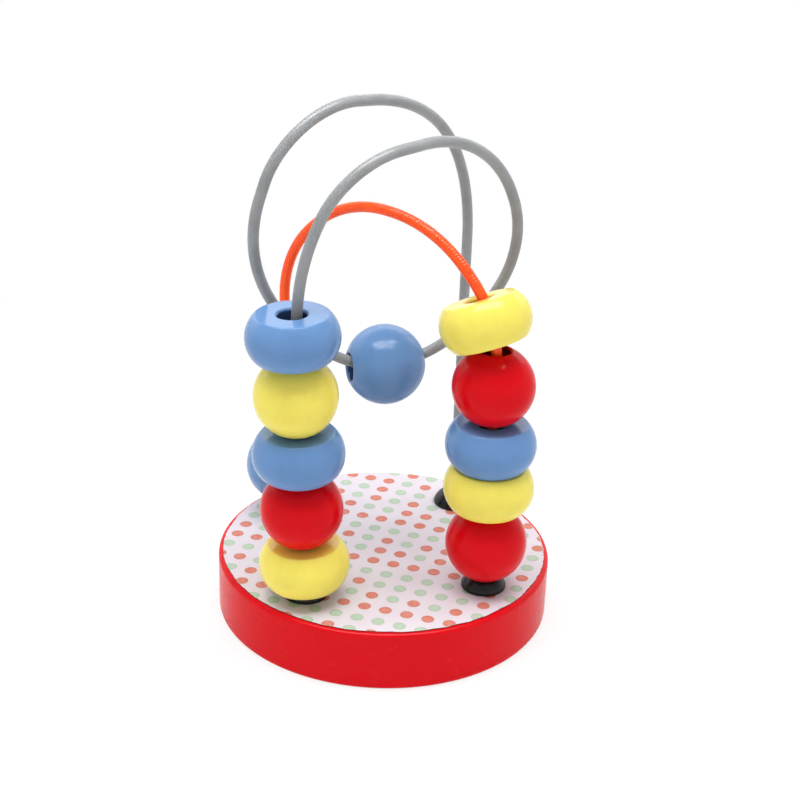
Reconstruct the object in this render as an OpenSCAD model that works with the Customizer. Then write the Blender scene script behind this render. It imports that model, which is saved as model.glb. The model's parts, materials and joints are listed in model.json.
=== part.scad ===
// Tabletop bead maze: a round wooden base, two bent wires in plastic sleeves and loose wooden beads.
// Lengths are in millimetres. The origin is the centre of the base's underside and +Z is up.
// The front of the toy faces -Y, and left and right are seen from the front.

/* [Base] */
// Diameter of the wooden base
base_diameter = 100; // [92:1:130]
// Thickness of the wooden base
base_thickness = 18; // [14:0.5:30]
// Rounding of the base's two rims
base_edge = 1.2; // [0.5:0.1:3]
// Thickness of the printed sheet glued on top
print_thickness = 0.3; // [0.1:0.1:1]
// Bare wood left between the sheet and the rounded rim
print_margin = 0.1; // [0:0.1:2]

/* [Feet] */
// Distance of each foot of a wire from the nearest two sides of the square around the base
foot_inset = 24; // [21:0.5:27]
// Depth of the blind hole under each foot
hole_depth = 10; // [7:0.5:12]
// Room left under the cap's stem in its hole
stem_gap = 2; // [1:0.5:4]
// Diameter of a foot cap
cap_diameter = 13; // [11:0.5:17]
// Height of a foot cap
cap_height = 5.4; // [4.4:0.1:6.4]
// Height of the straight rim under the cap's dome
cap_rim = 1; // [0.5:0.1:2]
// Diameter of the stem that plugs the hole
stem_diameter = 7; // [6:0.5:9]
// Clearance around the stem
stem_fit = 0.1; // [0.05:0.05:0.3]

/* [Wires] */
// Diameter of the steel core
core_diameter = 2; // [1.5:0.1:2.4]
// Wall of the plastic sleeve
sleeve_wall = 0.5; // [0.3:0.05:0.7]
// Clearance between the core and its sleeve
core_fit = 0.05; // [0.02:0.01:0.1]
// Clearance between the sleeve and a foot cap
cap_fit = 0.1; // [0.05:0.05:0.3]
// Outward lean of the two left-hand legs in degrees
left_lean = 2; // [0:0.1:3]

/* [Beads] */
// Diameter of a ball bead
ball_diameter = 23.5; // [20:0.5:26]
// Diameter of a flat bead across its bulging side
flat_diameter = 26; // [23:0.5:28]
// Diameter of a flat bead's two faces
flat_face = 20.4; // [18:0.2:21.6]
// Height of a flat bead
flat_height = 13; // [10:0.5:15]
// Rounding between a flat bead's faces and its side
flat_rim = 1; // [0.3:0.1:2]
// Bore through every bead
bore = 8; // [7:0.1:9]
// Bevel at both mouths of the bore
bore_bevel = 0.6; // [0.3:0.1:1]
// Play between stacked beads
bead_gap = 0.2; // [0.1:0.05:0.4]
// How far the left stack's top bead lies off its wire in x and y, less for the beads under it
left_shift = [-1.2, -1.5]; // [-1.6:0.1:1.6]
// How far the right stack's fourth bead lies off its wire in x and y, less for the beads under it
right_shift = [0, 1.8]; // [-1.8:0.1:1.8]
// How far the right stack's top bead has slipped towards the inside of its bend
right_slip = 2; // [0:0.1:2.2]
// How far the bead on the back leg lies to the left of its wire
back_shift = 2; // [0:0.1:2]

/* [Grey wire] */
// Height of the first corner above the left stack's top bead
grey_first = 17; // [14:0.5:19]
// Front arch, left corner: x, y and height above the left stack's top bead
grey_front_left = [-17, -35, 49]; // [-60:1:80]
// Front arch, right corner
grey_front_right = [24, -10, 52]; // [-60:1:80]
// Right side of the loop
grey_side_right = [41, 2, 10]; // [-60:1:80]
// Lowest corner of the loop
grey_bottom = [1, 7, -34]; // [-60:1:80]
// Left side of the loop
grey_side_left = [-45, -12, 10]; // [-60:1:80]
// Back arch, left corner
grey_back_left = [-31, -26, 62]; // [-60:1:80]
// Back arch, right corner
grey_back_right = [8, 3, 57]; // [-60:1:80]
// Height of the last corner above the left stack's top bead
grey_last = 29; // [24:0.5:36]
// Length of the last bend along its leg
grey_last_bend = 20; // [12:0.5:24]

/* [Orange wire] */
// How far below the fourth bead's top the front bend starts
orange_start = 4; // [0:0.5:5]
// Height of the back corner above the start of the front bend
orange_first = 16; // [12:0.5:20]
// Length of the back bend along its leg
orange_first_bend = 16; // [10:0.5:20]
// Arch, back corner: x, y and height above the start of the front bend
orange_back = [-12, 10, 37]; // [-60:1:80]
// Arch, front corner
orange_front = [10, -10, 35]; // [-60:1:80]
// Height of the front corner above the start of the front bend
orange_last = 14; // [11:0.5:16]

/* [Hidden] */
$fn = 64;

// Straight left between two neighbouring bends
bend_land = 1;
// A straight is this much thinner in radius than a bend and runs this far into it, so the two fuse cleanly
joint_step = 0.005;
joint_lap = 0.1;
// A flat bead's rim rounding stays this far inside its side and faces, so they fuse cleanly
rim_step = 0.005;

red = [0.82, 0.09, 0.11];
yellow = [0.95, 0.86, 0.32];
blue = [0.42, 0.58, 0.84];

half = base_diameter / 2 - foot_inset;
top = base_thickness + print_thickness;
hole_floor = base_thickness - hole_depth;
sleeve_diameter = core_diameter + 2 * core_fit + 2 * sleeve_wall;

// Mouth of a bead's bore, and the length of a ball between its two mouths
mouth_radius = bore / 2 + bore_bevel;
ball_length = 2 * sqrt(pow(ball_diameter / 2, 2) - pow(mouth_radius, 2));

// Bulging side of a flat bead: its sweep, its radius and the distance of its centre from the bead's axis
flat_bulge = (flat_diameter - flat_face) / 2;
side_radius = (pow(flat_height / 2, 2) + pow(flat_bulge, 2)) / (2 * flat_bulge);
side_centre = flat_diameter / 2 - side_radius;

// Centre of a rim's rounding, and the height at which it runs out into the side
rim_height = flat_height / 2 - flat_rim;
rim_centre = side_centre + sqrt(pow(side_radius - flat_rim, 2) - pow(rim_height, 2));
rim_end = rim_height * side_radius / (side_radius - flat_rim);

// Dome of a foot cap and the height at which the mouth of a bead sits on it, when shifted off its wire
dome_rise = cap_height - cap_rim;
dome_radius = (pow(cap_diameter / 2, 2) + pow(dome_rise, 2)) / (2 * dome_rise);
function cap_seat(shift) =
    cap_height - dome_radius + sqrt(pow(dome_radius, 2) - pow(mouth_radius - shift, 2)) + bead_gap;

// Beads of the two stacks from the bottom up
left_kinds = ["flat", "ball", "flat", "ball", "flat"];
right_kinds = ["ball", "flat", "flat", "ball", "flat"];

function bead_length(kind) = kind == "ball" ? ball_length : flat_height;

// Height of the underside of bead i above the sheet, and of its middle
function stack_bottom(kinds, i) =
    i == 0 ? cap_seat(0) : stack_bottom(kinds, i - 1) + bead_length(kinds[i - 1]) + bead_gap;
function stack_middle(kinds, i) = stack_bottom(kinds, i) + bead_length(kinds[i]) / 2;

// Feet at the level of the sheet, and the directions of their legs
leaning = [-sin(left_lean), 0, cos(left_lean)];
upright = [0, 0, 1];
foot_front_left = [-half, -half, top];
foot_front_right = [half, -half, top];
foot_back_left = [-half, half, top];
foot_back_right = [half, half, top];

function along_leg(foot, leg, s) = foot + leg * s / leg.z;
function leg_end(foot, leg) = along_leg(foot, leg, hole_floor - top - 1);
function lift(corner, z) = [corner.x, corner.y, corner.z + z];

// A wire is a list of its corners and the room that its first and last bends take on their legs
left_top = top + stack_middle(left_kinds, 4);
right_top = top + stack_bottom(right_kinds, 4) - orange_start;
grey_wire = [
    [
        leg_end(foot_front_left, leaning),
        along_leg(foot_front_left, leaning, left_top - top + grey_first),
        lift(grey_front_left, left_top),
        lift(grey_front_right, left_top),
        lift(grey_side_right, left_top),
        lift(grey_bottom, left_top),
        lift(grey_side_left, left_top),
        lift(grey_back_left, left_top),
        lift(grey_back_right, left_top),
        along_leg(foot_back_right, upright, left_top - top + grey_last),
        leg_end(foot_back_right, upright)
    ],
    grey_first / leaning.z,
    grey_last_bend
];
orange_wire = [
    [
        leg_end(foot_back_left, leaning),
        along_leg(foot_back_left, leaning, right_top - top + orange_first),
        lift(orange_back, right_top),
        lift(orange_front, right_top),
        along_leg(foot_front_right, upright, right_top - top + orange_last),
        leg_end(foot_front_right, upright)
    ],
    orange_first_bend,
    orange_last
];
grey_lowest = 5;
orange_front_bend = 4;

// Bend at corner i: its turn, the room it has on both sides, its radius and its frame
function unit(v) = v / norm(v);
function heading(wire, i) = unit(wire[0][i + 1] - wire[0][i]);
function turn(wire, i) = acos(heading(wire, i - 1) * heading(wire, i));
function room(wire, i) =
    i == 0 ? wire[1] :
    i == len(wire[0]) - 2 ? wire[2] :
    (norm(wire[0][i + 1] - wire[0][i]) - bend_land) / 2;
function setback(wire, i) =
    i == 0 || i == len(wire[0]) - 1 ? 0 : min(room(wire, i - 1), room(wire, i));
function bend_radius(wire, i) = setback(wire, i) / tan(turn(wire, i) / 2);
function bend_axis(wire, i) = unit(cross(heading(wire, i - 1), heading(wire, i)));
function inward(wire, i) = cross(bend_axis(wire, i), heading(wire, i - 1));
function bend_centre(wire, i) =
    wire[0][i] - setback(wire, i) * heading(wire, i - 1) + bend_radius(wire, i) * inward(wire, i);

// Angle from the start of the loop's lowest bend to its lowest point, where the loop bead hangs
lowest_angle = atan2(-heading(grey_wire, grey_lowest - 1).z, inward(grey_wire, grey_lowest).z);
loop_radius = bend_radius(grey_wire, grey_lowest);
loop_sag = loop_radius - sqrt(pow(loop_radius, 2) - pow(ball_length / 2, 2));
loop_hang = (bore - sleeve_diameter) / 2 - loop_sag - bead_gap;

// Angle up the orange wire's front bend at which the right stack's top bead lies on the ball under it
front_radius = bend_radius(orange_wire, orange_front_bend);
front_inward = cross(bend_axis(orange_wire, orange_front_bend), heading(orange_wire, orange_front_bend));
ball_across = front_radius - [right_shift.x, right_shift.y, 0] * front_inward;
ball_below = ball_length / 2 + bead_gap - orange_start;
seat_reach = (ball_diameter + flat_height) / 2 + bead_gap;
seat_angle = asin(seat_reach / norm([ball_across, ball_below])) - atan(ball_below / ball_across);

module oriented(x, y, z) {
    multmatrix([[x.x, y.x, z.x, 0], [x.y, y.y, z.y, 0], [x.z, y.z, z.z, 0], [0, 0, 0, 1]])
        children();
}

module bend(wire, i, diameter) {
    axis = bend_axis(wire, i);
    outward = -inward(wire, i);
    translate(bend_centre(wire, i))
        oriented(outward, cross(axis, outward), axis)
            rotate_extrude(angle = turn(wire, i))
                translate([bend_radius(wire, i), 0])
                    circle(d = diameter);
}

module straight(wire, i, diameter) {
    way = heading(wire, i);
    side = unit(cross(way, abs(way.x) < 0.7 ? [1, 0, 0] : [0, 1, 0]));
    first_lap = i == 0 ? 0 : joint_lap;
    last_lap = i == len(wire[0]) - 2 ? 0 : joint_lap;
    start = wire[0][i] + (setback(wire, i) - first_lap) * way;
    end = wire[0][i + 1] - (setback(wire, i + 1) - last_lap) * way;
    translate(start)
        oriented(side, cross(way, side), way)
            cylinder(d = diameter - 2 * joint_step, h = norm(end - start));
}

module bent_rod(wire, diameter) {
    for (i = [1 : len(wire[0]) - 2])
        bend(wire, i, diameter);
    for (i = [0 : len(wire[0]) - 2])
        straight(wire, i, diameter);
}

// Everything below the floor of the blind holes
module below_holes() {
    translate([0, 0, hole_floor - base_thickness / 2])
        cube([2 * base_diameter, 2 * base_diameter, base_thickness], center = true);
}

module core(wire) {
    difference() {
        bent_rod(wire, core_diameter);
        below_holes();
    }
}

module sleeve(wire) {
    difference() {
        bent_rod(wire, sleeve_diameter);
        bent_rod(wire, core_diameter + 2 * core_fit);
        below_holes();
    }
}

// Puts children at height s on a leg, with their Z axis along it
module on_leg(foot, leg, s) {
    translate(along_leg(foot, leg, s))
        rotate([0, atan2(leg.x, leg.z), 0])
            children();
}

// Puts children at an angle along bend i, with their Z axis along the wire and X away from the bend's centre
module on_bend(wire, i, angle) {
    way = heading(wire, i - 1) * cos(angle) + inward(wire, i) * sin(angle);
    axis = bend_axis(wire, i);
    out = cross(way, axis);
    translate(bend_centre(wire, i) + bend_radius(wire, i) * out)
        oriented(out, cross(way, out), way)
            children();
}

// Bore with a bevel at both mouths, for a bead of the given length
module bead_bore(length) {
    cylinder(d = bore, h = length + bore, center = true);
    for (end = [0, 180])
        rotate([end, 0, 0])
            translate([0, 0, length / 2 - bore_bevel])
                cylinder(d1 = bore, d2 = 3 * bore, h = bore);
}

module ball_bead() {
    difference() {
        sphere(d = ball_diameter);
        bead_bore(ball_length);
    }
}

module flat_bead() {
    difference() {
        rotate_extrude()
            union() {
                translate([0, -flat_height / 2])
                    square([rim_centre, flat_height]);
                intersection() {
                    translate([0, -rim_end])
                        square([flat_diameter, 2 * rim_end]);
                    translate([side_centre, 0])
                        circle(r = side_radius);
                }
                for (side = [-1, 1])
                    translate([rim_centre, side * rim_height])
                        circle(r = flat_rim - rim_step);
            }
        bead_bore(flat_height);
    }
}

module bead(kind) {
    if (kind == "ball")
        ball_bead();
    else
        flat_bead();
}

module left_bead(i) {
    on_leg(foot_front_left, leaning, stack_middle(left_kinds, i))
        translate(left_shift * i / 4)
            bead(left_kinds[i]);
}

module right_bead(i) {
    on_leg(foot_front_right, upright, stack_middle(right_kinds, i))
        translate(right_shift * i / 3)
            bead(right_kinds[i]);
}

// Domed cap around a leg, with a stem that plugs the blind hole
module cap(foot, leg) {
    color([0.08, 0.08, 0.09])
        difference() {
            translate(foot)
                union() {
                    intersection() {
                        cylinder(d = cap_diameter, h = cap_height);
                        translate([0, 0, cap_height - dome_radius])
                            sphere(r = dome_radius);
                    }
                    translate([0, 0, stem_gap - hole_depth - print_thickness])
                        cylinder(d = stem_diameter, h = hole_depth + print_thickness - stem_gap + cap_rim / 2);
                }
            on_leg(foot, leg, -hole_depth - print_thickness - cap_height)
                cylinder(d = sleeve_diameter + 2 * cap_fit, h = hole_depth + print_thickness + 3 * cap_height);
        }
}

// Places children at the four feet, at the level of the sheet
module at_feet() {
    for (foot = [foot_front_left, foot_front_right, foot_back_left, foot_back_right])
        translate(foot)
            children();
}

module base_disc() {
    flat_radius = base_diameter / 2 - base_edge;
    color(red)
        difference() {
            rotate_extrude($fn = 128)
                union() {
                    square([flat_radius, base_thickness]);
                    translate([0, base_edge])
                        square([base_diameter / 2, base_thickness - 2 * base_edge]);
                    for (z = [base_edge, base_thickness - base_edge])
                        translate([flat_radius, z])
                            circle(r = base_edge);
                }
            at_feet()
                translate([0, 0, -print_thickness - hole_depth])
                    cylinder(d = stem_diameter + 2 * stem_fit, h = hole_depth + base_edge);
        }
}

module top_print() {
    color([0.90, 0.87, 0.90])
        difference() {
            translate([0, 0, base_thickness])
                cylinder(d = base_diameter - 2 * (base_edge + print_margin), h = print_thickness, $fn = 128);
            at_feet()
                translate([0, 0, -2 * print_thickness])
                    cylinder(d = stem_diameter + 2 * stem_fit, h = 3 * print_thickness);
        }
}

module cap_front_left() {
    cap(foot_front_left, leaning);
}

module cap_front_right() {
    cap(foot_front_right, upright);
}

module cap_back_left() {
    cap(foot_back_left, leaning);
}

module cap_back_right() {
    cap(foot_back_right, upright);
}

module grey_core() {
    color([0.75, 0.75, 0.77])
        core(grey_wire);
}

module grey_sleeve() {
    color([0.52, 0.53, 0.55])
        sleeve(grey_wire);
}

module orange_core() {
    color([0.75, 0.75, 0.77])
        core(orange_wire);
}

module orange_sleeve() {
    color([1.0, 0.36, 0.10])
        sleeve(orange_wire);
}

module left_bead_1() {
    color(yellow)
        left_bead(0);
}

module left_bead_2() {
    color(red)
        left_bead(1);
}

module left_bead_3() {
    color(blue)
        left_bead(2);
}

module left_bead_4() {
    color(yellow)
        left_bead(3);
}

module left_bead_5() {
    color(blue)
        left_bead(4);
}

module right_bead_1() {
    color(red)
        right_bead(0);
}

module right_bead_2() {
    color(yellow)
        right_bead(1);
}

module right_bead_3() {
    color(blue)
        right_bead(2);
}

module right_bead_4() {
    color(red)
        right_bead(3);
}

module right_bead_5() {
    color(yellow)
        on_bend(orange_wire, orange_front_bend, turn(orange_wire, orange_front_bend) - seat_angle)
            translate([-right_slip, 0, 0])
                bead(right_kinds[4]);
}

module loop_bead() {
    color(blue)
        translate([0, 0, -loop_hang])
            on_bend(grey_wire, grey_lowest, lowest_angle)
                ball_bead();
}

module back_bead() {
    color(blue)
        on_leg(foot_back_left, leaning, cap_seat(back_shift) + ball_length / 2)
            translate([-back_shift, 0, 0])
                ball_bead();
}

base_disc();
top_print();
cap_front_left();
cap_front_right();
cap_back_left();
cap_back_right();
grey_core();
grey_sleeve();
orange_core();
orange_sleeve();
left_bead_1();
left_bead_2();
left_bead_3();
left_bead_4();
left_bead_5();
right_bead_1();
right_bead_2();
right_bead_3();
right_bead_4();
right_bead_5();
loop_bead();
back_bead();
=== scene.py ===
"""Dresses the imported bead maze: painted beads, sleeved wires, foot caps and a dotted sheet."""

import json
import logging
import math
from collections.abc import Callable
from dataclasses import dataclass
from enum import Enum
from functools import partial

import bmesh
import bpy
from mathutils import Matrix, Vector, noise


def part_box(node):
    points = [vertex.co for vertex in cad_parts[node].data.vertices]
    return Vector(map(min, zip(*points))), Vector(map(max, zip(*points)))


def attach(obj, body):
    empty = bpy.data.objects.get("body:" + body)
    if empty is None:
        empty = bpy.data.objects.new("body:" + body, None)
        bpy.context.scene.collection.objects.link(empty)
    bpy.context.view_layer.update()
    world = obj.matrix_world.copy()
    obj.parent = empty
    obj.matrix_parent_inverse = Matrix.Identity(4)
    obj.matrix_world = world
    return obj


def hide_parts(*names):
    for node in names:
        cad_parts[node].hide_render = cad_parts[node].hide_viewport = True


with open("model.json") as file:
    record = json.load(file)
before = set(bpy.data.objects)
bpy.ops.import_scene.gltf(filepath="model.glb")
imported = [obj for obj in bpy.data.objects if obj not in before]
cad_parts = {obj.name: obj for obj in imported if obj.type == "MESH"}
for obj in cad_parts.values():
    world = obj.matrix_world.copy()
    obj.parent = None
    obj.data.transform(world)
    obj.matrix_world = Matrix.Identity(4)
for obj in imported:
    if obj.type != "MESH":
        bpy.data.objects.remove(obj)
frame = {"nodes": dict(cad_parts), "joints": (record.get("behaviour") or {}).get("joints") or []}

LOG = logging.getLogger("bead_maze")
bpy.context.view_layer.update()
MM = 0.001
UP = Vector((0, 0, 1))
SIDES = (("left", -1), ("right", 1))
ENDS = (("front", -1), ("back", 1))

Range = tuple[float, float]
Triple = tuple[float, float, float]
Colour = Triple
Profile = list[tuple[float, float]]
Wobble = Callable[[Vector], Vector]
Socket = bpy.types.NodeSocket
Piece = bpy.types.Object

# Sockets of Blender's Mix node when it mixes colours.
MIX_FACTOR, MIX_FIRST, MIX_SECOND, MIX_RESULT = 0, 6, 7, 2
# Where most values of a noise lie.
NOISE_CORE: Range = (0.3, 0.7)
# How far a row's number may stray from a whole one.
LINE_TOLERANCE = 0.1
# Middle of a cell of the print.
CELL_MIDDLE = 0.5


class Paint(Enum):
    """Paints of the wood: outside colour, bore colour (both linear) and gloss; the bore colour is
    partly paint gathered in the bore and partly painted shade.
    """

    RED = ((0.62, 0.003, 0.008), (0.10, 0.002, 0.003), 0.085)
    YELLOW = ((0.79, 0.675, 0.112), (0.52, 0.30, 0.018), 0.20)
    BLUE = ((0.118, 0.242, 0.478), (0.016, 0.036, 0.105), 0.24)

    @property
    def colour(self) -> Colour:
        """Colour on the outside."""
        return self.value[0]

    @property
    def pooled_and_shaded(self) -> Colour:
        """Colour in the bore: paint gathered there, darkened further with painted shade."""
        return self.value[1]

    @property
    def gloss(self) -> float:
        """Specular level of the paint."""
        return self.value[2]


class BeadForm(Enum):
    """Shapes of the wooden beads."""

    BALL = "ball"
    FLAT = "flat"


@dataclass(frozen=True)
class Mottling:
    """Noise in a finish: features per metre, octaves, and weight of the finer octaves."""

    scale: float
    detail: float = 3.0
    roughness: float = 0.55


@dataclass(frozen=True)
class Relief:
    """Bump in a finish: its weight, and its full height in metres."""

    strength: float
    height: float

    def weighted(self, share: float) -> "Relief":
        """Gives the same bump with another weight."""
        return Relief(self.strength * share, self.height)


def scaled(values: tuple[float, ...], share: float) -> tuple[float, ...]:
    """Scales a colour or a range.

    Args:
        values: Its numbers.
        share: Factor.

    Returns:
        The scaled numbers.
    """
    return tuple(share * value for value in values)


class Graph:
    """Adds nodes to a node tree."""

    def __init__(self, tree: bpy.types.NodeTree) -> None:
        """Takes over a tree and empties it."""
        self.tree = tree
        self.tree.nodes.clear()

    def node(self, kind: str, **settings: object) -> bpy.types.Node:
        """Adds a node.

        Args:
            kind: Blender's name of the node type.
            settings: Properties to set on it.

        Returns:
            The new node.
        """
        made = self.tree.nodes.new(kind)
        for name, value in settings.items():
            setattr(made, name, value)
        return made

    def put(self, socket: Socket, value: object) -> None:
        """Links an output to a socket, or sets the socket's own value.

        Args:
            socket: Input to feed.
            value: Output socket, or a plain value.
        """
        if isinstance(value, Socket):
            self.tree.links.new(value, socket)
        elif socket.type == "RGBA":
            socket.default_value = (*value, 1.0)
        else:
            socket.default_value = value

    def math(self, operation: str, *values: object) -> Socket:
        """Adds a math node.

        Args:
            operation: Blender's name of the operation.
            values: Inputs in order.

        Returns:
            The result.
        """
        made = self.node("ShaderNodeMath", operation=operation)
        for socket, value in zip(made.inputs, values):
            self.put(socket, value)
        return made.outputs[0]

    def hypot(self, first: Socket, second: Socket) -> Socket:
        """Gives the length of a flat step from its two parts."""
        squares = [self.math("POWER", part, 2.0) for part in (first, second)]
        return self.math("SQRT", self.math("ADD", *squares))

    def parts(self, vector: Socket) -> list[Socket]:
        """Splits a vector.

        Args:
            vector: Output socket that gives it.

        Returns:
            Its x, y and z.
        """
        made = self.node("ShaderNodeSeparateXYZ")
        self.put(made.inputs[0], vector)
        return list(made.outputs)

    def spread(self, value: object, window: Range, result: Range = (0.0, 1.0)) -> Socket:
        """Maps a range smoothly to another.

        Args:
            value: Input.
            window: Inputs that give the ends of the result.
            result: Outputs at the ends of the window.

        Returns:
            The mapped value.
        """
        made = self.node("ShaderNodeMapRange", interpolation_type="SMOOTHSTEP")
        for socket, item in zip(made.inputs, (value, *window, *result)):
            self.put(socket, item)
        return made.outputs[0]

    def mix(self, factor: object, first: object, second: object) -> Socket:
        """Mixes two colours.

        Args:
            factor: Share of the second colour.
            first: First colour.
            second: Second colour.

        Returns:
            The mixed colour.
        """
        made = self.node("ShaderNodeMix", data_type="RGBA")
        self.put(made.inputs[MIX_FACTOR], factor)
        self.put(made.inputs[MIX_FIRST], first)
        self.put(made.inputs[MIX_SECOND], second)
        return made.outputs[MIX_RESULT]

    def coordinate(self, source: str) -> Socket:
        """Gives a texture coordinate by its name."""
        return self.node("ShaderNodeTexCoord").outputs[source]

    def place(
        self, source: str = "Object", offset: Triple = (0, 0, 0), scale: Triple = (1, 1, 1)
    ) -> Socket:
        """Gives a scaled and moved texture coordinate.

        Args:
            source: Name of the coordinate.
            offset: Added after the scale.
            scale: Scale along each axis.

        Returns:
            The coordinate.
        """
        made = self.node("ShaderNodeMapping")
        self.put(made.inputs["Vector"], self.coordinate(source))
        made.inputs["Location"].default_value = offset
        made.inputs["Scale"].default_value = scale
        return made.outputs[0]

    def mottle(self, place: Socket, kind: Mottling) -> Socket:
        """Adds a noise.

        Args:
            place: Coordinate.
            kind: Its scale and weights.

        Returns:
            A value around one half.
        """
        made = self.node("ShaderNodeTexNoise")
        self.put(made.inputs["Vector"], place)
        made.inputs["Scale"].default_value = kind.scale
        made.inputs["Detail"].default_value = kind.detail
        made.inputs["Roughness"].default_value = kind.roughness
        return made.outputs[0]

    def bump(self, height: Socket, relief: Relief, under: Socket | None = None) -> Socket:
        """Adds a bump.

        Args:
            height: Height from 0 to 1.
            relief: Weight and full height.
            under: Normal that it is laid on.

        Returns:
            The new normal.
        """
        made = self.node("ShaderNodeBump")
        made.inputs["Strength"].default_value = relief.strength
        made.inputs["Distance"].default_value = relief.height
        self.put(made.inputs["Height"], height)
        if under is not None:
            self.put(made.inputs["Normal"], under)
        return made.outputs[0]


class Surface(Graph):
    """Node material around one Principled shader."""

    def __init__(self, name: str) -> None:
        """Makes the material with its shader and output.

        Args:
            name: Name of the material.
        """
        self.material = bpy.data.materials.new(name)
        self.material.use_nodes = True
        super().__init__(self.material.node_tree)
        self.output = self.node("ShaderNodeOutputMaterial")
        self.shader = self.node("ShaderNodeBsdfPrincipled")
        self.put(self.output.inputs["Surface"], self.shader.outputs[0])

    def set(self, **values: object) -> None:
        """Feeds the shader's sockets, with underscores for the spaces in their names."""
        for name, value in values.items():
            self.put(self.shader.inputs[name.replace("_", " ")], value)


@dataclass(frozen=True)
class PaintedWood:
    """Glossy paint on turned wood, whose grain shows faintly through it."""

    paint: Paint
    seed: int = 0
    grain: Triple = (900.0, 900.0, 70.0)
    bore: float = 0.0
    roughness: Range = (0.10, 0.16)
    figure: float = 1.7
    seed_shift: Triple = (0.37, 0.61, 0.83)
    fibres: Mottling = Mottling(1.0, 5.0, 0.6)
    fibre_window: Range = (0.56, 0.78)
    fibre_share: float = 0.20
    fibre_relief: Relief = Relief(0.03, 0.15 * MM)
    coat: Mottling = Mottling(95.0)
    coat_window: Range = (0.40, 0.70)
    coat_share: float = 0.18
    deep: float = 0.80
    polish: Mottling = Mottling(260.0, 4.0)
    peel: Mottling = Mottling(1500.0, 2.0)
    peel_relief: Relief = Relief(0.02, 0.06 * MM)
    bore_fade: float = 0.5 * MM
    pool_and_shade_share: float = 0.9

    def material(self, name: str) -> bpy.types.Material:
        """Builds the paint.

        Args:
            name: Name of the material.

        Returns:
            The material.
        """
        graph = Surface(name)
        shift = scaled(self.seed_shift, self.seed)
        place = graph.place(offset=shift)
        fibres = graph.mottle(graph.place(offset=shift, scale=self.grain), self.fibres)
        coat = graph.mottle(place, self.coat)
        deep = scaled(self.paint.colour, self.deep)
        thin = graph.spread(coat, self.coat_window, (0.0, self.coat_share * self.figure))
        colour = graph.mix(thin, self.paint.colour, deep)
        veins = graph.spread(fibres, self.fibre_window, (0.0, self.fibre_share * self.figure))
        colour = graph.mix(veins, colour, deep)
        # Darkens the bore towards its inside: partly paint gathered there, partly painted shade
        # of the recess.
        if self.bore:
            x, y, _ = graph.parts(graph.place())
            window = (self.bore, self.bore + self.bore_fade)
            pool_and_shade = graph.spread(graph.hypot(x, y), window, (self.pool_and_shade_share, 0.0))
            colour = graph.mix(pool_and_shade, colour, self.paint.pooled_and_shaded)
        normal = graph.bump(fibres, self.fibre_relief.weighted(self.figure))
        peel = graph.mottle(place, self.peel)
        graph.set(
            Base_Color=colour,
            Roughness=graph.spread(graph.mottle(place, self.polish), NOISE_CORE, self.roughness),
            Normal=graph.bump(peel, self.peel_relief.weighted(self.figure), normal),
            Specular_IOR_Level=self.paint.gloss,
        )
        return graph.material


@dataclass(frozen=True)
class SleevePlastic:
    """Soft plastic sleeve with faint streaks along its length."""

    colour: Colour
    shade: Colour
    roughness: Range = (0.30, 0.40)
    gloss: float = 0.30
    streak_scale: Triple = (7.0, 30.0, 1.0)
    streaks: Mottling = Mottling(1.0, 2.0, 0.5)
    streak_window: Range = (0.55, 0.75)
    streak_share: float = 0.45
    streak_relief: Relief = Relief(0.03, 0.08 * MM)
    cloud: Mottling = Mottling(120.0)
    cloud_window: Range = (0.35, 0.68)

    def material(self, name: str) -> bpy.types.Material:
        """Builds the plastic on the sleeve's own map, which runs round it and along it.

        Args:
            name: Name of the material.

        Returns:
            The material.
        """
        graph = Surface(name)
        streaks = graph.mottle(graph.place("UV", scale=self.streak_scale), self.streaks)
        cloud = graph.mottle(graph.place(), self.cloud)
        colour = graph.mix(graph.spread(cloud, self.cloud_window), self.colour, self.shade)
        lines = graph.spread(streaks, self.streak_window, (0.0, self.streak_share))
        graph.set(
            Base_Color=graph.mix(lines, colour, self.shade),
            Roughness=graph.spread(cloud, NOISE_CORE, self.roughness),
            Normal=graph.bump(streaks, self.streak_relief),
            Specular_IOR_Level=self.gloss,
        )
        return graph.material


@dataclass(frozen=True)
class CapPlastic:
    """Moulded black plastic with handling marks."""

    colour: Colour = (0.004, 0.004, 0.004)
    dust: float = 0.010
    roughness: Range = (0.16, 0.30)
    gloss: float = 0.30
    marks: Mottling = Mottling(420.0, 5.0, 0.65)
    mark_window: Range = (0.45, 0.75)
    fine: Mottling = Mottling(3000.0, 2.0)
    fine_relief: Relief = Relief(0.05, 0.05 * MM)

    def material(self, name: str) -> bpy.types.Material:
        """Builds the plastic.

        Args:
            name: Name of the material.

        Returns:
            The material.
        """
        graph = Surface(name)
        marks = graph.mottle(graph.place(), self.marks)
        dusty = tuple(value + self.dust for value in self.colour)
        graph.set(
            Base_Color=graph.mix(graph.spread(marks, self.mark_window), self.colour, dusty),
            Roughness=graph.spread(marks, NOISE_CORE, self.roughness),
            Normal=graph.bump(graph.mottle(graph.place(), self.fine), self.fine_relief),
            Specular_IOR_Level=self.gloss,
        )
        return graph.material


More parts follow.
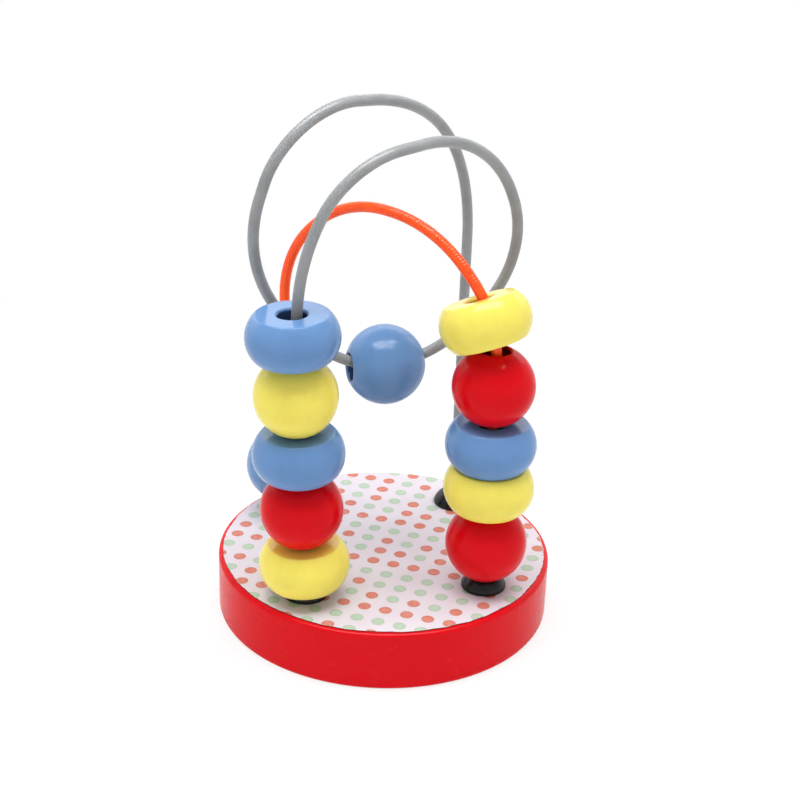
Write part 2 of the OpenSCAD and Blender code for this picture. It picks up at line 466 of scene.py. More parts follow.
@dataclass(frozen=True)
class DottedPaper:
    """Printed sheet: rows of coral and mint dots on a pale ground, with a white cut edge and
    upright cut faces painted dark as shade.
    """

    ground: Colour = (0.650, 0.598, 0.650)
    coral: Colour = (0.58, 0.170, 0.105)
    mint: Colour = (0.395, 0.520, 0.385)
    cut: Colour = (0.80, 0.78, 0.78)
    # Dark colour of the upright cut faces: painted shade under the sheet's edge.
    side: Colour = (0.16, 0.035, 0.035)
    pitch: float = 6.32 * MM
    dot: float = 3.7 * MM
    start: Range = (-1.55 * MM, 39.16 * MM)
    turn: float = math.radians(26.45)
    edge: float = 48.55 * MM
    cut_reach: Range = (-0.10 * MM, 0.06 * MM)
    exceptions: float = 0.13
    fringe: Mottling = Mottling(1400.0, 2.0)
    fray: float = 0.035
    soft: float = 0.022
    rim_reach: Range = (0.45, 0.95)
    rim_share: float = 0.35
    rim_shade: float = 0.72
    cloud: Mottling = Mottling(60.0)
    cloud_window: Range = (0.35, 0.65)
    cloud_shade: float = 0.965
    patchy: Mottling = Mottling(900.0, 4.0, 0.7)
    cover: Range = (0.82, 1.0)
    fibre: Mottling = Mottling(2600.0)
    fibre_relief: Relief = Relief(0.06, 0.05 * MM)
    upright_shade_window: Range = (0.4, 0.8)
    roughness: Range = (0.42, 0.56)
    gloss: float = 0.05

    def grid(self, graph: Graph, flat: list[Socket]) -> list[Socket]:
        """Measures the sheet in dots along the print's two turned axes.

        Args:
            graph: Nodes to add to.
            flat: Place on the sheet.

        Returns:
            Columns and rows, with a dot in the middle of each cell.
        """
        cosine, sine = math.cos(self.turn), math.sin(self.turn)
        x, y = (graph.math("SUBTRACT", *pair) for pair in zip(flat, self.start))
        cells = []
        for across, down in ((cosine, -sine), (-sine, -cosine)):
            first = graph.math("MULTIPLY", x, across / self.pitch)
            second = graph.math("MULTIPLY", y, down / self.pitch)
            cells.append(graph.math("ADD", graph.math("ADD", first, second), CELL_MIDDLE))
        return cells

    def coral_share(self, graph: Graph, column: Socket, row: Socket) -> Socket:
        """Picks the coral dots: rows in fours from all mint to all coral, with exceptions.

        Args:
            graph: Nodes to add to.
            column: Column of the dot.
            row: Row of the dot.

        Returns:
            1 for coral, 0 for mint.
        """
        odd = graph.math("FLOORED_MODULO", column, 2.0)
        line = graph.math("FLOORED_MODULO", row, 4.0)
        lines = [graph.math("COMPARE", line, float(k), LINE_TOLERANCE) for k in range(1, 4)]
        second, third, fourth = lines
        in_second = graph.math("MULTIPLY", second, odd)
        in_third = graph.math("MULTIPLY", third, graph.math("SUBTRACT", 1.0, odd))
        coral = graph.math("ADD", graph.math("ADD", in_second, in_third), fourth)
        cell = graph.node("ShaderNodeCombineXYZ")
        graph.put(cell.inputs[0], column)
        graph.put(cell.inputs[1], row)
        chance = graph.node("ShaderNodeTexWhiteNoise", noise_dimensions="2D")
        graph.put(chance.inputs["Vector"], cell.outputs[0])
        other = graph.math("GREATER_THAN", chance.outputs[0], 1.0 - self.exceptions)
        return graph.math("ABSOLUTE", graph.math("SUBTRACT", coral, other))

    def material(self, name: str) -> bpy.types.Material:
        """Builds the print from a turned square grid.

        Args:
            name: Name of the material.

        Returns:
            The material.
        """
        graph = Surface(name)
        flat = graph.parts(graph.place())
        cells = self.grid(graph, flat)
        within = [graph.math("FRACT", cell) for cell in cells]
        offsets = [graph.math("SUBTRACT", part, CELL_MIDDLE) for part in within]
        distance = graph.hypot(*offsets)
        fringe = graph.mottle(graph.place(), self.fringe)
        ragged = graph.math("MULTIPLY_ADD", fringe, self.fray, -self.fray / 2)
        radius = self.dot / self.pitch / 2
        outline = (radius - self.soft, radius + self.soft)
        ink = graph.spread(graph.math("ADD", distance, ragged), outline, (1.0, 0.0))
        coral = self.coral_share(graph, *(graph.math("FLOOR", cell) for cell in cells))
        dark = graph.mix(
            coral, scaled(self.mint, self.rim_shade), scaled(self.coral, self.rim_shade)
        )
        rim = graph.spread(distance, scaled(self.rim_reach, radius), (0.0, self.rim_share))
        inks = graph.mix(rim, graph.mix(coral, self.mint, self.coral), dark)
        cloud = graph.spread(graph.mottle(graph.place(), self.cloud), self.cloud_window)
        ground = graph.mix(cloud, self.ground, scaled(self.ground, self.cloud_shade))
        patchy = graph.mottle(graph.place(), self.patchy)
        cover = graph.math("MULTIPLY", ink, graph.spread(patchy, NOISE_CORE, self.cover))
        printed = graph.mix(cover, ground, inks)
        border = tuple(self.edge + reach for reach in self.cut_reach)
        cut = graph.spread(graph.hypot(flat[0], flat[1]), border)
        # Upright faces of the sheet take the dark side colour: painted shade along the sheet's
        # edge.
        facing = graph.math("ABSOLUTE", graph.parts(graph.coordinate("Normal"))[2])
        wall = graph.spread(facing, self.upright_shade_window, (1.0, 0.0))
        graph.set(
            Base_Color=graph.mix(wall, graph.mix(cut, printed, self.cut), self.side),
            Roughness=graph.spread(patchy, NOISE_CORE, self.roughness),
            Normal=graph.bump(graph.mottle(graph.place(), self.fibre), self.fibre_relief),
            Specular_IOR_Level=self.gloss,
        )
        return graph.material


@dataclass(frozen=True)
class DrawnSteel:
    """Plain drawn wire."""

    colour: Colour = (0.62, 0.62, 0.64)
    shade: float = 0.8
    roughness: Range = (0.28, 0.42)
    drawn: Mottling = Mottling(700.0, 4.0)

    def material(self, name: str) -> bpy.types.Material:
        """Builds the steel.

        Args:
            name: Name of the material.

        Returns:
            The material.
        """
        graph = Surface(name)
        drawn = graph.mottle(graph.place(), self.drawn)
        graph.set(
            Base_Color=graph.mix(drawn, self.colour, scaled(self.colour, self.shade)),
            Metallic=1.0,
            Roughness=graph.spread(drawn, NOISE_CORE, self.roughness),
        )
        return graph.material


def finish_mesh(name: str, shape: bmesh.types.BMesh, material: bpy.types.Material) -> Piece:
    """Turns a bmesh into a smooth, dressed object in the scene.

    Args:
        name: Name of the object.
        shape: Its mesh, which is freed.
        material: Its finish.

    Returns:
        The object.
    """
    bmesh.ops.recalc_face_normals(shape, faces=shape.faces)
    for face in shape.faces:
        face.smooth = True
    mesh = bpy.data.meshes.new(name)
    shape.to_mesh(mesh)
    shape.free()
    mesh.materials.append(material)
    made = bpy.data.objects.new(name, mesh)
    bpy.context.scene.collection.objects.link(made)
    return made


def dress_solid(node: str, material: bpy.types.Material) -> Piece:
    """Gives a CAD solid that stays in view its finish.

    Args:
        node: Name of the solid.
        material: Its finish.

    Returns:
        The solid.
    """
    solid = frame["nodes"][node]
    solid.data.materials.clear()
    solid.data.materials.append(material)
    return solid


def arc(centre: Range, radius: float, start: float, end: float, count: int) -> Profile:
    """Gives points on an arc of a profile.

    Args:
        centre: Centre as distance from the axis and height.
        radius: Radius of the arc.
        start: First angle in degrees, from the outward direction.
        end: Last angle in degrees.
        count: Number of steps.

    Returns:
        The points, both ends included.
    """
    angles = [math.radians(start + (end - start) * i / count) for i in range(count + 1)]
    return [(centre[0] + radius * math.cos(a), centre[1] + radius * math.sin(a)) for a in angles]


def revolve(profile: Profile, count: int, wobble: Wobble) -> bmesh.types.BMesh:
    """Turns a closed profile about Z.

    Args:
        profile: Points as distance from the axis and height.
        count: Steps of the full turn.
        wobble: Moves each point a little.

    Returns:
        The mesh.
    """
    shape = bmesh.new()
    rings = []
    for i in range(count):
        angle = 2 * math.pi * i / count
        points = [Vector((r * math.cos(angle), r * math.sin(angle), z)) for r, z in profile]
        rings.append([shape.verts.new(wobble(point)) for point in points])
    for i, ring in enumerate(rings):
        after = rings[(i + 1) % count]
        for k in range(len(profile)):
            m = (k + 1) % len(profile)
            shape.faces.new((ring[k], after[k], after[m], ring[m]))
    return shape


@dataclass
class Bead:
    """Painted wooden bead on its wire."""

    node: str
    body: str
    form: BeadForm
    paint: Paint
    seed: int
    axis: Vector
    ball_diameter: float = 23.5 * MM
    flat_diameter: float = 26.0 * MM
    flat_face: float = 20.4 * MM
    flat_height: float = 13.0 * MM
    flat_rim: float = 0.8 * MM
    bore: float = 8.0 * MM
    mouth: float = 0.6 * MM
    unevenness: float = 0.07 * MM
    wave: float = 9.0 * MM
    seed_shift: Triple = (7.3, 2.9, 5.1)
    turn_steps: int = 112
    ball_steps: int = 56
    bulge_steps: int = 18
    rim_steps: int = 8
    face_loops: tuple[float, ...] = (0.02, 0.25, 0.5, 0.75, 0.98, 1.0)
    mouth_loops: tuple[float, ...] = (0.06, 0.35, 0.65, 0.94, 1.0)
    bore_loops: tuple[float, ...] = (0.97, 0.5, 0.0, -0.5, -0.97)

    def side(self) -> Profile:
        """Gives the outside from the lower mouth to the upper one.

        Returns:
            The points.
        """
        edge = self.bore / 2 + self.mouth
        if self.form is BeadForm.BALL:
            reach = math.degrees(math.acos(2 * edge / self.ball_diameter))
            return arc((0.0, 0.0), self.ball_diameter / 2, -reach, reach, self.ball_steps)
        half = self.flat_height / 2
        bulge = (self.flat_diameter - self.flat_face) / 2
        radius = (half**2 + bulge**2) / (2 * bulge)
        centre = self.flat_diameter / 2 - radius
        height = half - self.flat_rim
        rim = centre + math.sqrt((radius - self.flat_rim) ** 2 - height**2)
        lean = math.degrees(math.asin(height / (radius - self.flat_rim)))
        upper = arc((centre, 0.0), radius, 0.0, lean, self.bulge_steps)
        upper += arc((rim, height), self.flat_rim, lean, 90.0, self.rim_steps)[1:]
        upper += [(rim + (edge - rim) * share, half) for share in self.face_loops]
        return [(r, -z) for r, z in reversed(upper[1:])] + upper

    def profile(self) -> Profile:
        """Gives the closed profile, with bevelled mouths and the bore.

        Returns:
            The points.
        """
        side = self.side()
        top = side[-1][1]
        wall = self.bore / 2
        lip = [
            (wall + self.mouth * (1 - share), top - self.mouth * share)
            for share in self.mouth_loops
        ]
        inside = [(wall, (top - self.mouth) * share) for share in self.bore_loops]
        return side + lip + inside + [(r, -z) for r, z in reversed(lip)]

    def uneven(self, point: Vector) -> Vector:
        """Moves a point as hand-turned wood strays from its true form."""
        where = point / self.wave + Vector(self.seed_shift) * self.seed
        return point * (1 + self.unevenness * noise.noise(where) / (self.ball_diameter / 2))

    def build(self) -> Piece:
        """Builds the bead around the middle of its solid and dresses it.

        Returns:
            The bead.
        """
        low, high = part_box(self.node)
        paint = PaintedWood(self.paint, self.seed, bore=self.bore / 2)
        shape = revolve(self.profile(), self.turn_steps, self.uneven)
        made = finish_mesh(f"{self.node}_painted", shape, paint.material(f"paint_{self.node}"))
        turn = UP.rotation_difference(self.axis).to_matrix().to_4x4()
        made.matrix_world = Matrix.Translation((low + high) / 2) @ turn
        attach(made, self.body)
        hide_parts(self.node)
        return made


@dataclass
class BeadSet:
    """All beads, in the order in which the wires carry them."""

    left: tuple[tuple[BeadForm, Paint], ...] = (
        (BeadForm.FLAT, Paint.YELLOW),
        (BeadForm.BALL, Paint.RED),
        (BeadForm.FLAT, Paint.BLUE),
        (BeadForm.BALL, Paint.YELLOW),
        (BeadForm.FLAT, Paint.BLUE),
    )
    right: tuple[tuple[BeadForm, Paint], ...] = (
        (BeadForm.BALL, Paint.RED),
        (BeadForm.FLAT, Paint.YELLOW),
        (BeadForm.FLAT, Paint.BLUE),
        (BeadForm.BALL, Paint.RED),
        (BeadForm.FLAT, Paint.YELLOW),
    )

    def joint(self, body: str) -> dict:
        """Gives the joint that moves a body, as the record states it."""
        return next(item for item in frame["joints"] if item["child"] == body)

    def along_wire(self, body: str, node: str) -> Vector:
        """Gives the wire's direction through a bead that rides round a bend.

        Args:
            body: Body of the bead.
            node: Node of the bead.

        Returns:
            The direction.
        """
        ride = self.joint(body)
        low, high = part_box(node)
        return Vector(ride["axis"]).cross((low + high) / 2 - Vector(ride["pos_m"])).normalized()

    def beads(self) -> list[Bead]:
        """Lists the beads with the axes on which they sit.

        Returns:
            The beads.
        """
        made: list[Bead] = []
        lean = Vector(self.joint("left_1")["axis"])
        for side, kinds, axis in (("left", self.left, lean), ("right", self.right, UP)):
            for i, (form, paint) in enumerate(kinds, 1):
                node, body = f"{side}_bead_{i}", f"{side}_{i}"
                tilted = side == "right" and i == len(kinds)
                way = self.along_wire(body, node) if tilted else axis
                made.append(Bead(node, body, form, paint, len(made) + 1, way))
        hung = self.along_wire("loop", "loop_bead")
        for body, way in (("loop", hung), ("back", Vector(self.joint("back")["axis"]))):
            seed = len(made) + 1
            made.append(Bead(f"{body}_bead", body, BeadForm.BALL, Paint.BLUE, seed, way))
        return made

    def build(self) -> list[Piece]:
        """Builds every bead."""
        return [bead.build() for bead in self.beads()]


@dataclass
class SleevedWire:
    """Plastic sleeve along a bent wire, given by its corners."""

    node: str
    corners: list[Vector]
    first_room: float
    last_room: float
    finish: SleevePlastic
    diameter: float = 3.1 * MM
    bore: float = 2.1 * MM
    land: float = 1.0 * MM
    leg_step: float = 1.5 * MM
    bend_step: float = 0.45 * MM
    steps: int = 26
    ripple: float = 0.0
    rippled: Range = (0.0, 1.0)
    ripple_pitch: float = 0.90 * MM
    ripple_fade: float = 0.6
    drift: float = 1.4
    drift_length: float = 5.0 * MM
    drift_row: Range = (1.7, 3.3)
    depth: Range = (0.6, 0.8)
    depth_length: float = 3.1 * MM
    depth_row: Range = (4.2, 0.7)
    facing: Range = (0.25, 0.75)

    def setback(self, i: int) -> float:
        """Gives how far from a corner its bend starts.

        Args:
            i: Number of the corner.

        Returns:
            The smaller room of the two stretches that meet there.
        """
        last = len(self.corners) - 2
        ends = {0: self.first_room, last: self.last_room}
        rooms = []
        for k in (i - 1, i):
            whole = (self.corners[k + 1] - self.corners[k]).length
            rooms.append(ends.get(k, (whole - self.land) / 2))
        return min(rooms)

    def route(self) -> list[tuple[Vector, Vector]]:
        """Follows the middle of the wire.

        Returns:
            Points at even steps on each stretch, with the direction at each.
        """
        points: list[tuple[Vector, Vector]] = []
        at = self.corners[0]
        for i in range(1, len(self.corners)):
            way = (self.corners[i] - self.corners[i - 1]).normalized()
            last = i == len(self.corners) - 1
            reach = 0.0 if last else self.setback(i)
            end = self.corners[i] - way * reach
            count = max(1, round((end - at).length / self.leg_step))
            points += [(at.lerp(end, k / count), way) for k in range(count)]
            if last:
                points.append((end, way))
                break
            after = (self.corners[i + 1] - self.corners[i]).normalized()
            turn = way.angle(after)
            radius = reach / math.tan(turn / 2)
            axis = way.cross(after).normalized()
            centre = end + axis.cross(way) * radius
            count = max(2, round(radius * turn / self.bend_step))
            for k in range(count):
                spin = Matrix.Rotation(turn * k / count, 3, axis)
                points.append((centre + spin @ (end - centre), spin @ way))
            at = self.corners[i] + after * reach
        return points

    def swell(self, share: float, along: float, outward: float) -> float:
        """Gives the sleeve's radius, which ripples where it is bent over its wire.

        Args:
            share: Share of the route behind this point.
            along: Length of the route behind this point.
            outward: From -1 to 1, how far this side faces up.

        Returns:
            The radius.
        """
        first, last = self.rippled
        if not self.ripple or not first < share < last:
            return self.diameter / 2
        fade = math.sin(math.pi * (share - first) / (last - first)) ** self.ripple_fade
        rough = noise.noise(Vector((along / self.depth_length, *self.depth_row)))
        uneven = self.depth[0] + self.depth[1] * abs(rough)
        drift = self.drift * noise.noise(Vector((along / self.drift_length, *self.drift_row)))
        wave = math.sin(2 * math.pi * along / self.ripple_pitch + drift)
        upper = max(0.0, self.facing[0] + self.facing[1] * outward)
        return self.diameter / 2 + self.ripple * fade * uneven * (wave - 1.0) / 2 * upper

    def build(self) -> Piece:
        """Sweeps the sleeve and its bore along the wire and dresses it.

        Returns:
            The sleeve.
        """
        route = self.route()
        lengths = [0.0]
        for (a, _), (b, _) in zip(route, route[1:]):
            lengths.append(lengths[-1] + (b - a).length)
        shape = bmesh.new()
        sheet = shape.loops.layers.uv.new("along")
        side = route[0][1].orthogonal().normalized()
        angles = [2 * math.pi * j / self.steps for j in range(self.steps)]
        outer, inner = [], []
        for (point, way), along in zip(route, lengths):
            side = (side - way * side.dot(way)).normalized()
            other = way.cross(side)
            ways = [side * math.cos(angle) + other * math.sin(angle) for angle in angles]
            radii = [self.swell(along / lengths[-1], along, out.z) for out in ways]
            outer.append([shape.verts.new(point + out * r) for out, r in zip(ways, radii)])
            inner.append([shape.verts.new(point + out * self.bore / 2) for out in ways])
        pairs = [(j, (j + 1) % self.steps) for j in range(self.steps)]
        for rings in (outer, inner):
            for k, (ring, after) in enumerate(zip(rings, rings[1:])):
                for j, m in pairs:
                    face = shape.faces.new((ring[j], ring[m], after[m], after[j]))
                    corners = ((j, k), (j + 1, k), (j + 1, k + 1), (j, k + 1))
                    for loop, (around, step) in zip(face.loops, corners):
                        loop[sheet].uv = (around / self.steps, lengths[step])
        for k in (0, -1):
            for j, m in pairs:
                shape.faces.new((outer[k][j], outer[k][m], inner[k][m], inner[k][j]))
        plastic = self.finish.material(f"plastic_{self.node}")
        made = finish_mesh(f"{self.node}_plastic", shape, plastic)
        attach(made, "stand")
        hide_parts(self.node)
        return made


@dataclass
class WireSet:
    """The grey and the orange wire in their sleeves, and their steel cores."""

    foot: float = 26.0 * MM
    top: float = 18.3 * MM
    start: float = 8.1 * MM
    lean: float = math.radians(2.0)
    left_top: float = 98.725 * MM
    right_top: float = 88.225 * MM
    grey_rise: float = 17 * MM
    grey_fall: float = 29 * MM
    grey_room: float = 20 * MM
    grey_corners: tuple[Triple, ...] = (
        (-17, -35, 49),
        (24, -10, 52),
        (41, 2, 10),
        (1, 7, -34),
        (-45, -12, 10),
        (-31, -26, 62),
        (8, 3, 57),
    )
    grey_plastic: SleevePlastic = SleevePlastic((0.283, 0.293, 0.303), (0.245, 0.252, 0.256))
    orange_rise: float = 16 * MM
    orange_fall: float = 14 * MM
    orange_corners: tuple[Triple, ...] = ((-12, 10, 37), (10, -10, 35))
    orange_plastic: SleevePlastic = SleevePlastic(
        (0.98, 0.090, 0.008), (0.92, 0.070, 0.006), (0.16, 0.26)
    )
    orange_step: float = 0.15 * MM
    orange_ripple: float = 0.15 * MM
    orange_rippled: Range = (0.47, 0.67)

    def leg(self, x: int, y: int, height: float) -> Vector:
        """Gives a point on a leg by its foot's signs; the left legs lean outward."""
        away = -math.tan(self.lean) * (height - self.top) if x < 0 else 0.0
        return Vector((x * self.foot + away, y * self.foot, height))

    def corner(self, point: Triple, above: float) -> Vector:
        """Gives a corner, in millimetres above a height, in metres."""
        x, y, z = point
        return Vector((x * MM, y * MM, z * MM + above))

    def grey(self) -> SleevedWire:
        """Gives the long grey wire with its loop.

        Returns:
            The wire.
        """
        corners = [self.leg(-1, -1, self.start)]
        corners.append(self.leg(-1, -1, self.left_top + self.grey_rise))
        corners += [self.corner(point, self.left_top) for point in self.grey_corners]
        corners.append(self.leg(1, 1, self.left_top + self.grey_fall))
        corners.append(self.leg(1, 1, self.start))
        rise = self.grey_rise / math.cos(self.lean)
        return SleevedWire("grey_sleeve", corners, rise, self.grey_room, self.grey_plastic)

    def orange(self) -> SleevedWire:
        """Gives the shorter orange wire, whose sleeve ripples over its front shoulder.

        Returns:
            The wire.
        """
        corners = [self.leg(-1, 1, self.start)]
        corners.append(self.leg(-1, 1, self.right_top + self.orange_rise))
        corners += [self.corner(point, self.right_top) for point in self.orange_corners]
        corners.append(self.leg(1, -1, self.right_top + self.orange_fall))
        corners.append(self.leg(1, -1, self.start))
        return SleevedWire(
            "orange_sleeve",
            corners,
            self.orange_rise,
            self.orange_fall,
            self.orange_plastic,
            bend_step=self.orange_step,
            ripple=self.orange_ripple,
            rippled=self.orange_rippled,
        )

    def build(self) -> list[Piece]:
        """Dresses the cores and builds the sleeves.

        Returns:
            The cores and the sleeves.
        """
        steel = DrawnSteel().material("steel_core")
        cores = [dress_solid(node, steel) for node in ("grey_core", "orange_core")]
        return cores + [self.grey().build(), self.orange().build()]


@dataclass
class FootCaps:
    """Four domed caps, each with a stem in its hole."""

    foot: float = 26.0 * MM
    top: float = 18.3 * MM
    diameter: float = 13.0 * MM
    height: float = 5.4 * MM
    rim: float = 1.0 * MM
    stem: float = 7.0 * MM
    stem_depth: float = 8.3 * MM
    hole: float = 3.3 * MM
    lip_width: float = 0.25 * MM
    lip_depth: float = 0.2 * MM
    soft: float = 0.3 * MM
    wall: float = 0.4 * MM
    lean: float = math.radians(2.0)
    turn_steps: int = 72
    dome_steps: int = 22
    soft_steps: int = 5

    def profile(self) -> Profile:
        """Gives the cap's closed profile, with its stem below the sheet's top.

        Returns:
            The points.
        """
        half, inner, stem = self.diameter / 2, self.hole / 2, self.stem / 2
        rise = self.height - self.rim
        dome = (half**2 + rise**2) / (2 * rise)
        first = math.degrees(math.acos((inner + self.lip_width) / dome))
        last = math.degrees(math.acos(half / dome))
        points = arc((0.0, self.height - dome), dome, first, last, self.dome_steps)
        points += arc((half - self.soft, self.soft), self.soft, 0.0, -90.0, self.soft_steps)
        points += [(stem, 0.0), (stem, -self.stem_depth), (inner, -self.stem_depth), (inner, 0.0)]
        points.append((inner, points[0][1] - self.lip_depth))
        return points

    def follow(self, slope: float, point: Vector) -> Vector:
        """Leans the hole's wall with its wire and leaves the outside upright."""
        inside = math.hypot(point.x, point.y) < self.hole / 2 + self.wall
        return point - Vector((slope * point.z if inside else 0.0, 0.0, 0.0))

    def build(self) -> list[Piece]:
        """Builds and dresses the caps.

        Returns:
            The caps.
        """
        made = []
        plastic = CapPlastic().material("plastic_cap")
        for side, x in SIDES:
            follow = partial(self.follow, math.tan(self.lean) if side == "left" else 0.0)
            for end, y in ENDS:
                node = f"cap_{end}_{side}"
                shape = revolve(self.profile(), self.turn_steps, follow)
                cap = finish_mesh(f"{node}_moulded", shape, plastic)
                cap.matrix_world = Matrix.Translation((x * self.foot, y * self.foot, self.top))
                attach(cap, "stand")
                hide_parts(node)
                made.append(cap)
        return made


@dataclass
class Base:
    """Painted board with its printed sheet."""

    foot: float = 26.0 * MM
    thickness: float = 18.0 * MM
    sheet_radius: float = 48.7 * MM
    sheet_thickness: float = 0.3 * MM
    sheet_steps: int = 720
    hole: float = 7.2 * MM
    hole_steps: int = 48
    ragged: float = 0.42 * MM
    wide_nicks: Triple = (6.0, 1.3, 1.0)
    fine_nicks: Triple = (31.0, 8.1, 0.7)
    sharp: float = math.radians(40)
    paint: PaintedWood = PaintedWood(
        Paint.RED, 31, (90.0, 90.0, 520.0), roughness=(0.20, 0.28), figure=0.4
    )

    def nick(self, angle: float) -> float:
        """Gives how far the cutter strayed inward, from two noises.

        Args:
            angle: Direction from the sheet's middle in radians.

        Returns:
            The depth as a share of the raggedness.
        """
        depth = 0.0
        for waves, row, weight in (self.wide_nicks, self.fine_nicks):
            where = Vector((waves * math.cos(angle), waves * math.sin(angle), row))
            depth += weight * abs(noise.noise(where))
        return depth

    def circle(
        self, shape: bmesh.types.BMesh, centre: Range, radius: float, count: int, ragged: float
    ) -> list[bmesh.types.BMEdge]:
        """Draws a closed circle on top of the sheet.

        Args:
            shape: Mesh to draw in.
            centre: Middle of the circle.
            radius: Largest radius.
            count: Number of points.
            ragged: Depth of the nicks.

        Returns:
            Its edges.
        """
        points = []
        height = self.thickness + self.sheet_thickness
        for i in range(count):
            angle = 2 * math.pi * i / count
            reach = radius - ragged * self.nick(angle)
            x, y = centre[0] + reach * math.cos(angle), centre[1] + reach * math.sin(angle)
            points.append(shape.verts.new((x, y, height)))
        return [shape.edges.new((points[i], points[(i + 1) % count])) for i in range(count)]

    def sheet(self) -> Piece:
        """Builds the printed sheet with a hole for each foot.

        Returns:
            The sheet.
        """
        shape = bmesh.new()
        edges = self.circle(shape, (0.0, 0.0), self.sheet_radius, self.sheet_steps, self.ragged)
        for _, x in SIDES:
            for _, y in ENDS:
                foot = (x * self.foot, y * self.foot)
                edges += self.circle(shape, foot, self.hole / 2, self.hole_steps, 0.0)
        bmesh.ops.triangle_fill(shape, edges=edges, use_beauty=True)
        shape.verts.index_update()
        drop = Vector((0.0, 0.0, self.sheet_thickness))
        lower = [shape.verts.new(point.co - drop) for point in shape.verts[:]]
        for face in shape.faces[:]:
            shape.faces.new([lower[point.index] for point in reversed(face.verts[:])])
        for edge in edges:
            a, b = edge.verts
            shape.faces.new((a, b, lower[b.index], lower[a.index]))
        made = finish_mesh("top_print_sheet", shape, DottedPaper().material("paper_dots"))
        made.data.set_sharp_from_angle(angle=self.sharp)
        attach(made, "stand")
        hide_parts("top_print")
        return made

    def build(self) -> list[Piece]:
        """Dresses the board and builds its sheet."""
        return [dress_solid("base_disc", self.paint.material("paint_board")), self.sheet()]


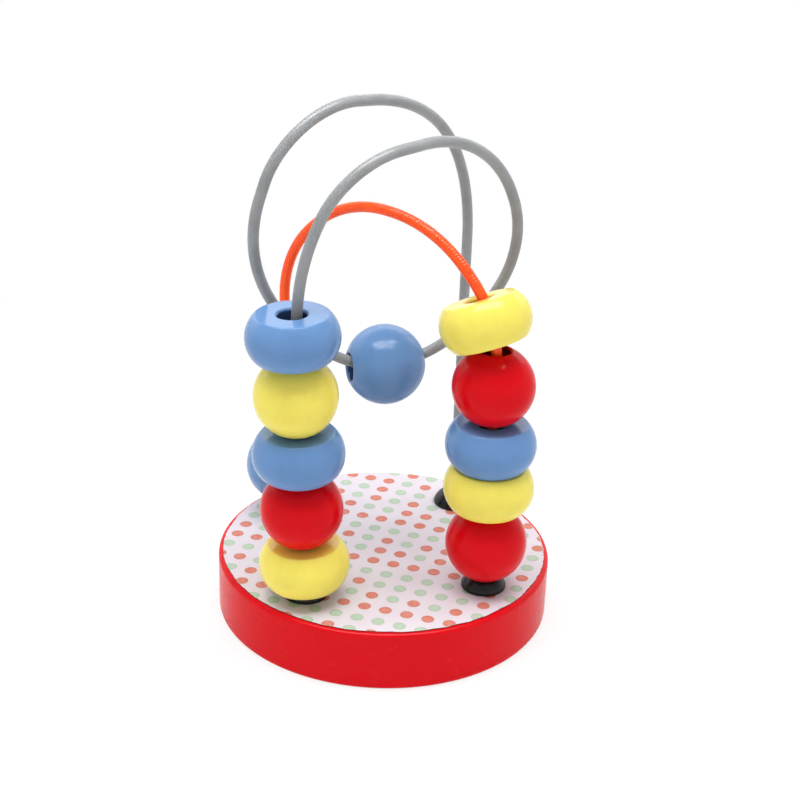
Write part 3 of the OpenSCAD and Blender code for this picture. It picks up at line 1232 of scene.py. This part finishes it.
@dataclass
class Studio:
    """Camera at the photograph's angle, white floor, soft light and pale surroundings."""

    lens: float = 72.0
    sensor: float = 36.0
    clip: Range = (0.01, 50.0)
    away: float = 425.9 * MM
    height: float = 259.65 * MM
    yaw: float = math.radians(8.0)
    pitch: float = math.radians(24.347)
    pan: float = math.radians(0.464)
    roll: float = math.radians(1.901)
    strip_size: Range = (0.60, 0.045)
    strip_side: float = -0.04
    strip_depths: Triple = (-0.17, -0.08, 0.01)
    strip_height: float = 0.66
    strip_power: float = 1.30
    strip_glint: float = 2.4
    back_size: Range = (3.6, 0.6)
    back_place: Triple = (0.0, 1.2, 0.80)
    back_aim: Triple = (0.0, 0.0, 0.07)
    back_power: float = 8.0
    floor_radius: float = 6.0
    floor_steps: int = 96
    floor_tones: tuple[Colour, Colour] = ((0.90, 0.90, 0.90), (0.92, 0.92, 0.92))
    floor_mottling: Mottling = Mottling(30.0)
    shadow_reach: Range = (0.06, 0.30)
    shadow_white: Range = (0.72, 1.0)
    wall_height: float = 0.22
    wall_behind: float = 0.55
    wall_fade: float = 0.25
    wall_level: float = 1.0
    room_level: float = 0.60

    def camera(self) -> None:
        """Sets the camera, turned with the toy's own yaw."""
        flat = math.cos(self.pitch)
        way = Vector(
            (math.sin(self.pan) * flat, math.cos(self.pan) * flat, -math.sin(self.pitch))
        )
        right = Vector((math.cos(self.pan), -math.sin(self.pan), 0.0))
        up = right.cross(way)
        across = right * math.cos(self.roll) + up * math.sin(self.roll)
        upward = up * math.cos(self.roll) - right * math.sin(self.roll)
        turn = Matrix.Rotation(-self.yaw, 3, "Z")
        axes = Matrix((turn @ across, turn @ upward, turn @ -way)).transposed().to_4x4()
        data = bpy.data.cameras.new("camera")
        data.lens, data.sensor_width = self.lens, self.sensor
        data.clip_start, data.clip_end = self.clip
        made = bpy.data.objects.new("camera", data)
        stand = turn @ Vector((0.0, -self.away, self.height))
        made.matrix_world = Matrix.Translation(stand) @ axes
        bpy.context.scene.collection.objects.link(made)
        bpy.context.scene.camera = made

    def lamp(self, name: str, place: Matrix, size: Range, power: float, glint: bool) -> None:
        """Adds a softbox.

        Args:
            name: Name of the lamp.
            place: Where it stands and how it is turned.
            size: Width and height.
            power: Watts.
            glint: Whether it shows only as a reflection.
        """
        data = bpy.data.lights.new(name, "AREA")
        data.shape, data.energy = "RECTANGLE", power
        data.size, data.size_y = size
        made = bpy.data.objects.new(name, data)
        made.matrix_world = place
        made.visible_diffuse = not glint
        bpy.context.scene.collection.objects.link(made)

    def lights(self) -> None:
        """Hangs three strips over the toy and stands a wide softbox behind it."""
        for i, depth in enumerate(self.strip_depths, 1):
            place = Matrix.Translation((self.strip_side, depth, self.strip_height))
            self.lamp(f"strip_{i}", place, self.strip_size, self.strip_power, False)
            self.lamp(f"strip_{i}_glint", place, self.strip_size, self.strip_glint, True)
        stand = Vector(self.back_place)
        aim = (Vector(self.back_aim) - stand).to_track_quat("-Z", "Y").to_matrix().to_4x4()
        place = Matrix.Translation(stand) @ aim
        self.lamp("softbox_back", place, self.back_size, self.back_power, False)

    def floor(self) -> None:
        """Lays a white floor that keeps the toy's shadow."""
        shape = bmesh.new()
        bmesh.ops.create_circle(
            shape, cap_ends=True, segments=self.floor_steps, radius=self.floor_radius
        )
        graph = Surface("floor_white")
        graph.tree.nodes.remove(graph.shader)
        matt = graph.node("ShaderNodeBsdfDiffuse")
        mottling = graph.mottle(graph.place(), self.floor_mottling)
        graph.put(matt.inputs["Color"], graph.mix(mottling, *self.floor_tones))
        white = graph.node("ShaderNodeEmission")
        rays = graph.node("ShaderNodeLightPath").outputs
        mirrored = graph.math("MAXIMUM", rays["Is Glossy Ray"], rays["Is Transmission Ray"])
        seen = graph.math("MAXIMUM", rays["Is Camera Ray"], mirrored)
        away = graph.node("ShaderNodeVectorMath", operation="LENGTH")
        graph.put(away.inputs[0], graph.place())
        share = graph.spread(away.outputs["Value"], self.shadow_reach, self.shadow_white)
        blend = graph.node("ShaderNodeMixShader")
        graph.put(blend.inputs[0], graph.math("MULTIPLY", seen, share))
        graph.put(blend.inputs[1], matt.outputs[0])
        graph.put(blend.inputs[2], white.outputs[0])
        graph.put(graph.output.inputs["Surface"], blend.outputs[0])
        finish_mesh("floor", shape, graph.material)

    def surroundings(self) -> None:
        """Surrounds the toy with a pale wall, tallest behind it, and a dim room above."""
        world = bpy.data.worlds.new("studio")
        world.use_nodes = True
        bpy.context.scene.world = world
        graph = Graph(world.node_tree)
        _, y, z = graph.parts(graph.coordinate("Generated"))
        behind = graph.math("MAXIMUM", y, 0.0)
        wall = graph.math("MULTIPLY_ADD", behind, self.wall_behind, self.wall_height)
        above = graph.math("SUBTRACT", z, wall)
        levels = (self.wall_level, self.room_level)
        light = graph.node("ShaderNodeBackground")
        graph.put(light.inputs["Color"], (1.0, 1.0, 1.0))
        graph.put(light.inputs["Strength"], graph.spread(above, (0.0, self.wall_fade), levels))
        output = graph.node("ShaderNodeOutputWorld")
        graph.put(output.inputs["Surface"], light.outputs[0])

    def build(self) -> None:
        """Sets up camera, floor and light."""
        bpy.context.scene.view_settings.view_transform = "Standard"
        self.camera()
        self.floor()
        self.surroundings()
        self.lights()


def main() -> None:
    """Builds the studio and every part of the toy in order."""
    logging.basicConfig(level=logging.INFO, format="%(name)s: %(message)s")
    Studio().build()
    for assembly in (Base(), FootCaps(), WireSet(), BeadSet()):
        for piece in assembly.build():
            LOG.info("%s: %d faces", piece.name, len(piece.data.polygons))


if __name__ == "__main__":
    main()
